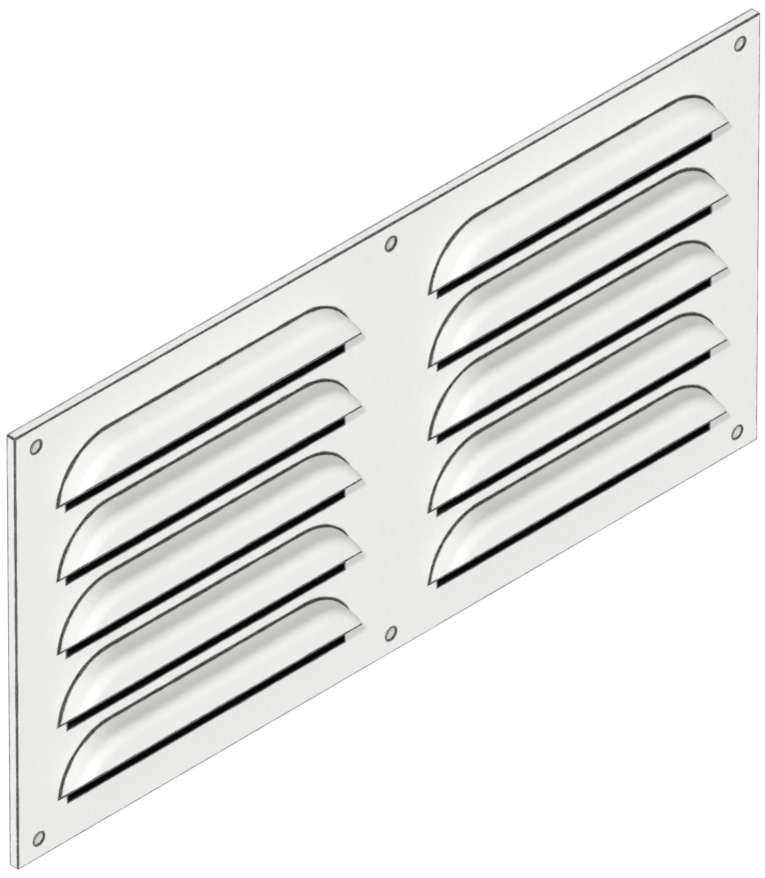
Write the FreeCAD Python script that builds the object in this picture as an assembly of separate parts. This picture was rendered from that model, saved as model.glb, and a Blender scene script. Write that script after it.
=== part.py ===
"""Louvred sheet metal panel: one flat sheet with rows of hooded louvres pressed out of it.

The panel lies on its back. The origin is the middle of the back face, +X runs along
the width, +Y is the side that faces up once the panel is fixed to a wall, and +Z points
out of the front face. The hoods open towards -Y, so that rain runs off them.
All sizes are in millimetres.
"""
import FreeCAD, Part
import math
import os
from FreeCAD import Vector

# ---- sheet -------------------------------------------------------------------------
panel_width = 300.0
panel_height = 150.0
sheet = 3.5                   # thickness, kept through the hoods and round their bends
edge_break = 0.25             # bevel that takes the burr off the sheet's outer edges

# ---- louvres -----------------------------------------------------------------------
columns = 2
column_gap = 30.8             # between the ends of two louvres in a row
louvre_margin_x = 16.6        # left and right edges of the panel to the louvres
louvre_margin_y = 12.0        # the least from the top and bottom edges to the louvres
row_pitch = 25.4
end_radius = 20.0             # plan radius of the crease round each end of a hood
projection = 8.5              # how far the lip stands above the front face
side_angle = 84.0             # slope of the hood's sides, from the face
roof_angle = 4.0              # slope of the roof, which still climbs towards the lip
lip_drop = 18.6               # crease down to the line where the lip's cut meets the face
lip_angle = 45.0              # slope of the lip's cut, from the face
slot_drop = 21.0              # crease down to the lower edge of the slot

# ---- screw holes -------------------------------------------------------------------
hole_columns = 3
hole_diameter = 4.0
hole_margin_x = 8.4           # left and right edges of the panel to the outer holes
hole_margin_y = 6.8           # top and bottom edges of the panel to every hole

# ---- worked out --------------------------------------------------------------------
side = math.radians(side_angle)
roof = math.radians(roof_angle)
lip = math.radians(lip_angle)
louvre_length = (panel_width - 2 * louvre_margin_x - (columns - 1) * column_gap) / columns
column_pitch = louvre_length + column_gap
rows = 1 + int((panel_height - 2 * louvre_margin_y - slot_drop) / row_pitch)
straight = louvre_length / 2 - end_radius         # half of a hood's straight run
lip_y = end_radius - lip_drop                     # measured from the end arcs' centres
slot_y = end_radius - slot_drop                   # the same, for the slot's lower edge
lip_out_y = lip_y + projection / math.tan(lip)    # the same, for the lip's outer edge
past = 2 * sheet                                  # how far a cutter runs past a surface
outward = Vector(0, 0, 1)
origin = Vector(0, 0, 0)


def bent_line(bends):
    """Edges through (y, z, radius) points in the YZ plane; a radius of 0 is a sharp bend."""
    points = [Vector(0, y, z) for y, z, radius in bends]
    edges = []
    last = points[0]
    for index in range(1, len(points) - 1):
        radius = bends[index][2]
        back = (points[index - 1] - points[index]).normalize()
        ahead = (points[index + 1] - points[index]).normalize()
        half = back.getAngle(ahead) / 2
        start = points[index] + back * (radius / math.tan(half))
        end = points[index] + ahead * (radius / math.tan(half))
        to_arc = (back + ahead).normalize() * (radius / math.sin(half) - radius)
        edges.append(Part.LineSegment(last, start).toShape())
        if radius > 0:
            edges.append(Part.Arc(start, points[index] + to_arc, end).toShape())
        last = end
    edges.append(Part.LineSegment(last, points[-1]).toShape())
    return edges


def hood_section(depth):
    """Half section of a hood, under the surface that lies `depth` inside its skin.

    Y is 0 over the centres of the end arcs and grows towards the crease. The tool's edges
    are sharp, so each bend is sharp on its inside and a whole sheet's thickness round on its
    outside: the skin is round at the shoulder, and the back is round at the crease.
    """
    face = sheet - depth
    foot = end_radius - depth / math.sin(side) + depth / math.tan(side)
    brim = foot + depth * math.tan(side / 2) + edge_break
    crown = sheet + projection + lip_out_y * math.tan(roof) - depth / math.cos(roof)
    run = (crown - face - foot * math.tan(roof)) / (math.tan(side) - math.tan(roof))
    edges = bent_line([
        (brim, face, 0),
        (foot, face, depth),
        (foot - run, face + run * math.tan(side), sheet - depth),
        (0, crown, 0),
    ])
    base = -past if depth else sheet / 2
    closing = [Vector(0, 0, crown), Vector(0, 0, base), Vector(0, brim, base), Vector(0, brim, face)]
    for start, end in zip(closing, closing[1:]):
        edges.append(Part.LineSegment(start, end).toShape())
    return Part.Face(Part.Wire(edges))


def hood_body(depth):
    """Solid under one surface of a hood, before it is cut off along its lower side.

    It is straight along the louvre, turns a quarter round at each end, and runs straight
    down from there, past any lip or slot.
    """
    section = hood_section(depth)
    left_end = Vector(-straight, 0, 0)
    right_end = Vector(straight, 0, 0)
    down = Vector(0, -end_radius, 0)
    run = section.translated(left_end).extrude(right_end - left_end)
    left = section.translated(left_end).revolve(left_end, outward, 90)
    right = section.translated(right_end).revolve(right_end, outward, -90)
    left_side = section.rotated(origin, outward, 90).translated(left_end).extrude(down)
    right_side = section.rotated(origin, outward, -90).translated(right_end).extrude(down)
    box = run.BoundBox
    middle = Part.makeBox(2 * straight, end_radius, box.ZLength, Vector(-straight, -end_radius, box.ZMin))
    return run.fuse([left, right, left_side, right_side, middle])


def lip_cutter():
    """Everything that lies below the lip's sloping cut, down to the middle of the sheet."""
    reach = end_radius + past
    height = projection + past
    left = -straight - reach
    slope = [
        Vector(left, lip_y, sheet),
        Vector(left, lip_y + height / math.tan(lip), sheet + height),
        Vector(left, -reach, sheet + height),
        Vector(left, -reach, sheet / 2),
        Vector(left, lip_y, sheet / 2),
    ]
    return Part.Face(Part.makePolygon(slope + slope[:1])).extrude(Vector(-2 * left, 0, 0))


def hood_skin():
    """The outside of one hood, filled in, with its lip cut back."""
    return hood_body(0).cut(lip_cutter())


def hood_hollow():
    """What one louvre takes out of the sheet: the hood's inside, down to the slot's edge."""
    hollow = hood_body(sheet)
    box = hollow.BoundBox
    below = Part.makeBox(box.XLength, slot_y - box.YMin, box.ZLength, Vector(box.XMin, box.YMin, box.ZMin))
    return hollow.cut(below)


def louvre_places():
    """The middle of each louvre's end arcs' centre line, the field centred on the panel."""
    field = (rows - 1) * row_pitch + slot_drop
    for column in range(columns):
        x = (column - (columns - 1) / 2) * column_pitch
        for row in range(rows):
            yield Vector(x, field / 2 - end_radius - row * row_pitch, 0)


def hole_places():
    """Screw holes along the top and bottom edges, the outer ones in the corners."""
    reach_x = panel_width / 2 - hole_margin_x
    reach_y = panel_height / 2 - hole_margin_y
    for column in range(hole_columns):
        x = -reach_x + column * 2 * reach_x / (hole_columns - 1)
        for y in (-reach_y, reach_y):
            yield Vector(x, y, 0)


def louvred_panel():
    """The whole panel, as the one pressed sheet that it is."""
    plate = Part.makeBox(panel_width, panel_height, sheet)
    plate.translate(Vector(-panel_width / 2, -panel_height / 2, 0))
    plate = plate.makeChamfer(edge_break, plate.Edges)
    skin = hood_skin()
    hollow = hood_hollow()
    drill = Part.makeCylinder(hole_diameter / 2, sheet + 2 * past, Vector(0, 0, -past))
    added = [skin.translated(place) for place in louvre_places()]
    taken = [hollow.translated(place) for place in louvre_places()]
    taken += [drill.translated(place) for place in hole_places()]
    return plate.fuse(added).cut(taken).removeSplitter()


os.makedirs("parts", exist_ok=True)
panel = louvred_panel()
panel.exportStep("parts/louvred_panel.step")
print("louvred_panel:", len(panel.Solids), "solid,", "valid" if panel.isValid() else "INVALID")
print("volume", round(panel.Volume), "mm3, height", round(panel.BoundBox.ZLength, 2), "mm")
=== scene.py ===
# %% [markdown]
# # Finishing a louvred sheet metal panel
#
# The panel is one sheet of steel, 300 mm long, with ten hooded louvres pressed out of it. Air
# passes through the slots, and rain runs off the hoods. Its shape comes ready made from the
# CAD model. This lesson gives it its finish: a white powder coat over a black primer. The
# powder covers the side that shows, and the primer stays bare on the back. In the slots and
# under the hoods the near black is painted shade, which stands in for the dark of a vent.
#
# The model lies on its back. X runs along the panel, Y points to the side that is up once the
# panel hangs on a wall, and Z points out of its face. All sizes are in metres.

# %% Load the panel
import math
import bpy
from mathutils import Matrix, Vector


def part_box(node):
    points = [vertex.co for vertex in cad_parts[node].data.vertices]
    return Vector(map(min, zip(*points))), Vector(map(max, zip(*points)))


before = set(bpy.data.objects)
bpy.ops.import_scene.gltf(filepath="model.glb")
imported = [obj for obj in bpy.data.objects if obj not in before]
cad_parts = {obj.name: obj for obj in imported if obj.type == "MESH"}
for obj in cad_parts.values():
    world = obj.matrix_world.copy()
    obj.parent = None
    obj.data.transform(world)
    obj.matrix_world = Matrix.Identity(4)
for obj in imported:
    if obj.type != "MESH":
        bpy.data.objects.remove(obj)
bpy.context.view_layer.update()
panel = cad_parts["louvred_panel"]
panel_low, panel_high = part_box("louvred_panel")
print("panel measures", [round(size, 4) for size in panel_high - panel_low], "m")

# %% [markdown]
# ## Sizes that the finish needs
#
# A finish that knows where the hoods are can be thin on a sheared edge, and can carry painted
# shade in a crease and inside a slot. The sizes that place the louvres and the holes are the
# CAD model's own.

# %% Driving sizes
mm = 0.001
sheet = 3.5 * mm                   # thickness of the steel
column_x = 74.4 * mm               # panel's middle to the middle of each column
rows = 5
row_pitch = 25.4 * mm
lowest_row_y = -60.3 * mm          # centres of the lowest hoods' end arcs
hood_run = 39 * mm                 # half of a hood's straight run
end_radius = 20 * mm               # crease round each end of a hood
lip_y = 1.4 * mm                   # where the lip's cut meets the face, above the arcs' centres
slot_y = -1.0 * mm                 # lower edge of the slot, from the arcs' centres
slot_half = 55.5 * mm              # half of the slot's length in the face
hole_x = 141.6 * mm                # panel's middle to the outer holes
hole_y = 68.2 * mm                 # panel's middle to every hole
hole_radius = 2 * mm
print("face at", sheet / mm, "mm, hoods to", round(panel_high.z / mm, 2), "mm")

# %% [markdown]
# ## The camera
#
# The panel is looked at along the diagonal of a cube, so that its width, its height and its
# depth are all foreshortened alike. An orthographic camera would do that too, but a very long
# lens from far off looks the same, and works as any other camera does in other views. The
# camera is turned until the panel's Y axis points up, so that the panel is seen as it hangs
# on a wall, although it lies on the floor.

# %% Camera
back = Vector((-1, 1, 1)).normalized()                    # from the panel to the camera
up = (Vector((0, 1, 0)) - back * back.y).normalized()
right = up.cross(back)
aim = Vector((-3.46 * mm, 1.97 * mm, sheet))
view_height = 250.65 * mm                                 # what the camera takes in

camera_data = bpy.data.cameras.new("camera")
camera_data.lens = 1400
camera = bpy.data.objects.new("camera", camera_data)
bpy.context.scene.collection.objects.link(camera)
distance = view_height * camera_data.lens / camera_data.sensor_width
turn = Matrix((right, up, back)).transposed().to_4x4()
camera.matrix_world = Matrix.Translation(aim + back * distance) @ turn
bpy.context.scene.camera = camera
print("camera stands", round(distance, 2), "m away")

# %% [markdown]
# ## Sums on a surface
#
# A mask says where on a surface something is. It could be painted by hand, but a mask worked
# out from the place of a point is exact, and it stays right when the panel's sizes change.
# Such sums are Math nodes, which are hard to read once there are many. So a small class writes
# them: a Field is a number that each point of a surface has, and a sum on it adds the node.

# %% Adding and feeding nodes
def add(tree, kind, **settings):
    """Add a shader node and set its properties by name."""
    node = tree.nodes.new("ShaderNode" + kind)
    for name, value in settings.items():
        setattr(node, name, value)
    return node


def feed(tree, socket, value):
    """Link a node's output to a socket, or set the socket to a plain value."""
    value = getattr(value, "socket", value)
    if isinstance(value, bpy.types.NodeSocket):
        tree.links.new(value, socket)
    else:
        socket.default_value = value


def calc(tree, operation, *values):
    """Add a Math node that works on fields and plain numbers."""
    node = add(tree, "Math", operation=operation)
    for socket, value in zip(node.inputs, values):
        feed(tree, socket, value)
    return Field(tree, node.outputs[0])

# %% Field
class Field:
    """A number at each point of a surface. Sums on it become Math nodes."""

    def __init__(self, tree, socket):
        self.tree = tree
        self.socket = socket

    def __add__(self, other):
        return calc(self.tree, "ADD", self, other)

    def __sub__(self, other):
        return calc(self.tree, "SUBTRACT", self, other)

    def __rsub__(self, other):
        return calc(self.tree, "SUBTRACT", other, self)

    def __mul__(self, other):
        return calc(self.tree, "MULTIPLY", self, other)

    def __truediv__(self, other):
        return calc(self.tree, "DIVIDE", self, other)

    def __abs__(self):
        return calc(self.tree, "ABSOLUTE", self)

    def least(self, other):
        return calc(self.tree, "MINIMUM", self, other)

    def most(self, other):
        return calc(self.tree, "MAXIMUM", self, other)

    def away_from(self, other):
        """The length of the diagonal, where the two numbers are its sides."""
        return calc(self.tree, "SQRT", self * self + other * other)

    def rising(self, start, end):
        """A mask that is 0 up to start and 1 from end on, soft between them."""
        node = add(self.tree, "MapRange", interpolation_type="SMOOTHSTEP")
        for name, value in (("Value", self), ("From Min", start), ("From Max", end)):
            feed(self.tree, node.inputs[name], value)
        return Field(self.tree, node.outputs["Result"])

    def falling(self, start, end):
        """A mask that is 1 up to start and 0 from end on."""
        return 1.0 - self.rising(start, end)

# %% [markdown]
# ## Node groups
#
# An effect that is used more than once becomes a node group with named inputs and outputs,
# like a part with its own drawing. Two helpers make a group and place it. Three more read the
# parts of a vector, make noise of a given size, and lay one colour over another.

# %% Group helpers
def new_group(name, inputs, outputs):
    """Start a node group. Returns its tree, its inputs as fields, and its outputs to feed."""
    tree = bpy.data.node_groups.new(name, "ShaderNodeTree")
    for label, kind in inputs.items():
        tree.interface.new_socket(label, in_out="INPUT", socket_type="NodeSocket" + kind)
    for label in outputs:
        tree.interface.new_socket(label, in_out="OUTPUT", socket_type="NodeSocketFloat")
    entry = tree.nodes.new("NodeGroupInput").outputs
    leave = tree.nodes.new("NodeGroupOutput").inputs
    return tree, {label: Field(tree, entry[label]) for label in inputs}, leave


def use_group(tree, group, **values):
    """Place a group in another tree, give its inputs by name, and return its outputs."""
    node = add(tree, "Group", node_tree=group)
    for name, value in values.items():
        feed(tree, node.inputs[name], value)
    return {socket.name: Field(tree, socket) for socket in node.outputs}

# %% Vector parts, noise and mixes
def parts(tree, vector):
    """The X, Y and Z of a vector, as three fields."""
    node = add(tree, "SeparateXYZ")
    feed(tree, node.inputs[0], vector)
    return [Field(tree, socket) for socket in node.outputs]


def noise(tree, place, lump, detail=2.0):
    """Noise from 0 to 1 whose lumps are about as big as lump."""
    node = add(tree, "TexNoise")
    for name, value in (("Vector", place), ("Scale", 1 / lump), ("Detail", detail)):
        feed(tree, node.inputs[name], value)
    return Field(tree, node.outputs[0])


def mix(tree, factor, below, above):
    """One colour over another, which shows as much as the factor says."""
    node = add(tree, "Mix", data_type="RGBA")
    for socket, value in zip((node.inputs[0], *node.inputs[6:8]), (factor, below, above)):
        feed(tree, socket, value)
    return node.outputs[2]

# %% [markdown]
# ## Where a point lies on its louvre
#
# All ten louvres are alike, so one group folds the whole panel onto a single one: left onto
# right, and every row onto the lowest. It measures from the line between the centres of the
# hood's two end arcs. Along and Above are the place in the panel's face, Across is the
# distance from the line, and Proud is the height over the face.

# %% Louvre place group
louvre_place, given, found = new_group(
    "louvre_place",
    {"Place": "Vector", "Normal": "Vector"},
    ["Along", "Above", "Across", "Proud", "Facing", "Cut"],
)
x, y, z = parts(louvre_place, given["Place"])

# A new row starts midway between the crease of the hood below and its own slot.
row_start = lowest_row_y + (slot_y + end_radius - row_pitch) / 2
row = calc(louvre_place, "FLOOR", (y - row_start) / row_pitch).most(0.0).least(rows - 1.0)
along = abs(x) - column_x
above = y - lowest_row_y - row * row_pitch

# Past the straight run, a point is measured from the nearer end arc's centre.
over = along - along.most(-hood_run).least(hood_run)
across = over.away_from(above)

# %% [markdown]
# Facing says whether the surface turns outwards, away from that line or out of the face. A
# hood's skin does, and its hollow, its slot and the panel's back don't. A shader can also ask
# how deep in a corner a point lies, but this rule finds the border exactly. Turning out of
# the face counts twice. Otherwise the lip's cut, which leans in as much as it looks out, would
# be on the border. Cut is 1 on that cut, which looks down and out at 45 degrees.

# %% Which way the surface turns
normal_x, normal_y, normal_z = parts(louvre_place, given["Normal"])
side = calc(louvre_place, "SIGN", x)
leaning = normal_x * side * over + normal_y * above
hair = 0.01 * mm                   # keeps the division from zero on the line itself
facing = leaning / across.most(hair) + normal_z * 2.0
cut = ((normal_z - normal_y) * math.sqrt(0.5)).rising(0.90, 0.98)

for socket, value in zip(found, (along, above, across, z - sheet, facing, cut)):
    feed(louvre_place, socket, value)
print(louvre_place.name, "has", len(louvre_place.nodes), "nodes")

# %% [markdown]
# ## Where a point lies on the plate
#
# A second group knows the plate's outline and its screw holes. On a flat side of a box, the
# distance to the nearest edge is the second smallest of the distances to its sides, because
# the smallest is zero there. Taking the larger of each pair, and the least of those, gives it.

# %% Plate place group
plate_place, given, found = new_group("plate_place", {"Place": "Vector"}, ["Edge", "Hole"])
x, y, z = parts(plate_place, given["Place"])
from_end = panel_high.x - abs(x)
from_top = panel_high.y - abs(y)
from_outline = from_end.least(from_top)
front_edge = from_outline.most(abs(z - sheet))
back_edge = from_outline.most(abs(z))
corner = from_end.most(from_top)
feed(plate_place, found["Edge"], front_edge.least(back_edge).least(corner))

# Three holes stand along each long edge: both ends are folded onto one, and so are both edges.
hole_across = abs(x).least(abs(abs(x) - hole_x))
feed(plate_place, found["Hole"], hole_across.away_from(abs(y) - hole_y))
print(plate_place.name, "has", len(plate_place.nodes), "nodes")

# %% [markdown]
# ## A thin edge, and a line of painted shade
#
# Melting powder draws back from a sharp edge, as water does from the rim of a plate. The coat
# is thin there and the primer greys it. A shader can find sharp edges by itself, but not every
# program can, and the width would depend on the mesh. So one group makes the line for every
# edge from the distance to it, and also the painted shade along each hood's crease. The line's
# width wanders slowly along the edge, and its border is ragged, grain by grain.

# %% Thin coat and shade line group
thin_coat_and_shade_line, given, found = new_group(
    "thin_coat_and_shade_line",
    {"Place": "Vector", "Distance": "Float", "Width": "Float"},
    ["Mask"],
)
wander = noise(thin_coat_and_shade_line, given["Place"], 6 * mm)
ragged = noise(thin_coat_and_shade_line, given["Place"], 0.4 * mm)
width = given["Width"] * (wander + ragged * 0.8 + 0.1)
feed(thin_coat_and_shade_line, found["Mask"], given["Distance"].falling(width * 0.4, width))
print(thin_coat_and_shade_line.name, "has", len(thin_coat_and_shade_line.nodes), "nodes")

# %% [markdown]
# ## Powder coat texture
#
# Powder is sprayed dry and melts into a skin about a tenth of a millimetre thick. It never
# flows quite flat: a soft ripple some 2 mm long, called orange peel, is the mark of a powder
# coat, and a much finer grain lies on it. Cloud is a slow drift, for tone and gloss.

# %% Coat texture group
coat_texture, given, found = new_group("coat_texture", {"Place": "Vector"}, ["Height", "Cloud"])
ripple = noise(coat_texture, given["Place"], 2.2 * mm, 1.0)
grain = noise(coat_texture, given["Place"], 0.4 * mm, 1.0)
feed(coat_texture, found["Height"], ripple + grain * 0.15)
feed(coat_texture, found["Cloud"], noise(coat_texture, given["Place"], 55 * mm, 3.0))
print(coat_texture.name, "has", len(coat_texture.nodes), "nodes")

# %% [markdown]
# ## The finish of the sheet
#
# The material lays powder over primer, and lets the primer show where the powder is thin. The
# same near black is painted shade in the slots, under the hoods and in the creases. The
# Principled shader stays in the material, and the groups only tell it what lies where. Its
# specular level is low, because a matt primer hardly shines, and a level that changes over
# the surface would be lost when the panel is exported.

# %% Start the material
def new_material(name):
    """A material, its node tree and its Principled shader."""
    material = bpy.data.materials.new(name)
    material.use_nodes = True
    return material, material.node_tree, material.node_tree.nodes["Principled BSDF"]


powder = (0.84, 0.84, 0.825, 1)
dull_powder = (0.74, 0.74, 0.72, 1)
# The primer's near black is also painted shade: in the slots, under the hoods, in the creases
# and on the floor under the louvres.
primer_and_shade = (0.0075, 0.0075, 0.008, 1)
pale_primer_and_shade = (0.013, 0.013, 0.014, 1)

coated, tree, skin = new_material("powder_coated_sheet")
skin.inputs["Specular IOR Level"].default_value = 0.25
coordinates = add(tree, "TexCoord").outputs
place = coordinates["Object"]
louvre = use_group(tree, louvre_place, Place=place, Normal=coordinates["Normal"])
plate = use_group(tree, plate_place, Place=place)
texture = use_group(tree, coat_texture, Place=place)

# %% [markdown]
# ### Where the powder lies
#
# Powder covers what faces out of the panel, and it also goes down into the screw holes. Round
# the outer edges it clings a little way onto the back, where the noise frays its border. Where
# it doesn't lie, the near black is primer on the back, and painted shade in the slots and
# under the hoods.

# %% Powder mask, and painted shade in the slots and hollows
speckle = noise(tree, place, 0.7 * mm, 3.0)
faces_out = louvre["Facing"].rising(0.0, 0.1)
in_hole = plate["Hole"].falling(hole_radius + 0.3 * mm, hole_radius + 0.5 * mm)
round_the_edge = (plate["Edge"] - speckle * (4 * mm)).falling(-1.6 * mm, 0.4 * mm)
# Where this is 0 the sheet is near black: primer on the back, and painted shade in the slots
# and under the hoods.
powder_not_shade = faces_out.most(in_hole).most(round_the_edge)

# %% [markdown]
# A little powder drifts through the slots and settles on the back as loose white specks, in
# some places more than in others.

# %% Drifted powder
on_back = (louvre["Proud"] + sheet).falling(0.05 * mm, 0.2 * mm)
specks = noise(tree, place, 0.9 * mm).rising(0.62, 0.70) * texture["Cloud"].rising(0.40, 0.65)
drifted = specks * on_back * 0.35

# %% [markdown]
# ### Lines where it is thin
#
# The first lines run along each hood's lip and along the slot below it. The lip is cut on a
# plane at 45 degrees, so that a point's distance from that plane is the difference of two
# sides, divided by the root of two. The cut itself faces the gun and is well covered.

# %% Lip and slot lines
def dark_line(distance, width):
    """The line group, placed in the sheet's material: a thin coat at an edge, painted shade in
    a crease.
    """
    return use_group(tree, thin_coat_and_shade_line, Place=place, Distance=distance, Width=width)["Mask"]


from_lip = (louvre["Above"] - lip_y - louvre["Proud"]) * math.sqrt(0.5)
over_face = louvre["Proud"].rising(0.0, 0.3 * mm)
lip_line = dark_line(abs(from_lip), 0.7 * mm) * over_face * (1.0 - louvre["Cut"])

from_slot = (slot_y - louvre["Above"]).most(abs(louvre["Along"]) - slot_half)
on_face = abs(louvre["Proud"]).falling(0.02 * mm, 0.2 * mm)
below_lip = louvre["Above"].falling(lip_y, lip_y + 0.2 * mm)
slot_line = dark_line(from_slot, 0.8 * mm) * on_face * below_lip

# %% [markdown]
# The rims of the holes and the plate's outline were sheared too. A hole's rim is near where a
# point is near both the hole's wall and the face.

# %% Rim and outline lines
from_hole_rim = abs(plate["Hole"] - hole_radius).most(abs(louvre["Proud"]))
rim_line = dark_line(from_hole_rim, 0.8 * mm)
outline = dark_line(plate["Edge"], 0.8 * mm)

# %% [markdown]
# Where a hood rises out of the face, its sharp inner corner gets a line of painted shade. It
# runs round the hood at the end arcs' radius, and stops at the lip.

# %% Crease line of painted shade
from_crease = (louvre["Across"] - end_radius).away_from(louvre["Proud"])
above_lip = louvre["Above"].rising(lip_y - 0.3 * mm, lip_y + 0.3 * mm)
crease_shade = dark_line(from_crease, 1.0 * mm) * above_lip
# All the lines together: thin coat at the edges, and painted shade in the creases.
thin_coat_and_shade = lip_line.most(slot_line).most(rim_line).most(crease_shade).most(outline)

# %% [markdown]
# ### Colour, gloss and relief
#
# The layers are mixed from the bottom up. Bare primer and painted shade are rougher than
# powder, and so is powder where it is thin. The ripple is far too low to show at an outline, so
# that a bump, which only tilts the light, does as well as real relief and needs no faces.

# %% Colour
drift = texture["Cloud"].rising(0.3, 0.7)
thick = mix(tree, drift * 0.06, powder, dull_powder)
# Lines of thin coat along the sheared edges, and painted shade along the creases.
lined = mix(tree, thin_coat_and_shade * (speckle * 0.5 + 0.65), thick, primer_and_shade)
# Primer on the back, and painted shade in the slots and under the hoods, with drifted specks.
primer_and_shade_colour = mix(tree, drifted, mix(tree, drift, primer_and_shade, pale_primer_and_shade), powder)
feed(tree, skin.inputs["Base Color"], mix(tree, powder_not_shade, primer_and_shade_colour, lined))

# %% Gloss and relief
satin = texture["Cloud"] * 0.16 + 0.32
primer_and_shade_mask = powder_not_shade.falling(0.2, 0.8)
feed(tree, skin.inputs["Roughness"], satin + thin_coat_and_shade * 0.2 + primer_and_shade_mask * 0.25)

bump = add(tree, "Bump")
bump.inputs["Strength"].default_value = 0.5
bump.inputs["Distance"].default_value = 0.3 * mm
feed(tree, bump.inputs["Height"], texture["Height"])
feed(tree, skin.inputs["Normal"], bump.outputs[0])
panel.material_slots[0].material = coated
print(coated.name, "has", len(tree.nodes), "nodes")

# %% [markdown]
# ## The floor
#
# The floor stands for the wall that the panel hangs on. It is plain white and takes the
# panel's soft shadow, and a little glow, which only the camera and reflections see, lifts it
# to pure white. More light would do that too, but it would bleach the panel. Under the
# louvres the floor is painted near black, a painted shade that stands in for the dark behind
# a vent. The dark patch is smaller than the panel, so that the screw holes still stand on
# white.

# %% Who looks at it
def seen_directly(tree):
    """1 for camera rays and for rays that arrive by a mirror or through glass, else 0."""
    rays = add(tree, "LightPath").outputs
    seen = Field(tree, rays["Is Camera Ray"]).most(rays["Is Glossy Ray"])
    return seen.most(rays["Is Transmission Ray"])

# %% Floor
bpy.ops.object.select_all(action="DESELECT")
bpy.ops.mesh.primitive_plane_add(size=40)
floor = bpy.context.object
floor.name = "floor"
wall_paint, tree, ground = new_material("white_wall")
floor.data.materials.append(wall_paint)
print(floor.name, "measures", [round(side) for side in floor.dimensions[:2]], "m")

# %% Wall paint, painted shade under the louvres, and glow
white = (0.85, 0.85, 0.85, 1)
x, y, _ = parts(tree, add(tree, "TexCoord").outputs["Object"])
from_panel = (abs(x) - panel_high.x).most(abs(y) - panel_high.y)
# Painted shade: near black on the floor under the louvres, where a vent opens onto dark.
outside_painted_shade = from_panel.rising(-13 * mm, -12 * mm)
beside = from_panel.rising(-1 * mm, 0.0)
feed(tree, ground.inputs["Base Color"], mix(tree, outside_painted_shade, primer_and_shade, white))
ground.inputs["Roughness"].default_value = 0.9

glow = add(tree, "Emission")
feed(tree, glow.inputs["Strength"], seen_directly(tree) * beside * 0.35)
both = add(tree, "AddShader")
feed(tree, both.inputs[0], ground.outputs[0])
feed(tree, both.inputs[1], glow.outputs[0])
feed(tree, tree.nodes["Material Output"].inputs["Surface"], both.outputs[0])
print(wall_paint.name, "has", len(tree.nodes), "nodes")

# %% [markdown]
# ## Light
#
# A soft lamp shines nearly straight on the face, so that the face is brightest and the hoods'
# sides are a little darker. A harder lamp stands near the camera, but lower over the panel.
# Its shadows peek out just beyond each hood, as thin as a drawn line. One lamp can't do both:
# low enough for the shadows, it would leave the face dull and light up the sheet's edges.

# %% Lamps
def add_sun(name, towards, energy, spread):
    """A sun that shines from a direction. Its spread, in degrees, softens its shadows."""
    data = bpy.data.lights.new(name, "SUN")
    data.energy = energy
    data.angle = math.radians(spread)
    sun = bpy.data.objects.new(name, data)
    bpy.context.scene.collection.objects.link(sun)
    sun.rotation_euler = towards.to_track_quat("Z", "Y").to_euler()
    print(name, "stands", round(math.degrees(towards.angle(Vector((0, 0, 1))))), "degrees off")


add_sun("soft lamp", Vector((-0.15, -0.15, 0.98)), 1.15, 10)
add_sun("outline lamp", Vector((-0.60, 0.64, 0.48)), 1.65, 3)

# %% [markdown]
# The sky fills the shadows evenly, as a white studio does. It is white where it is seen, and
# lights the panel less than that, so that the pale coat keeps its tone.

# %% Sky
world = bpy.data.worlds.new("studio")
bpy.context.scene.world = world
world.use_nodes = True
tree = world.node_tree
sky = tree.nodes["Background"]
sky.inputs["Color"].default_value = (1, 1, 1, 1)
ambient = 0.36
feed(tree, sky.inputs["Strength"], seen_directly(tree) * (1 - ambient) + ambient)
bpy.context.scene.view_settings.view_transform = "Standard"
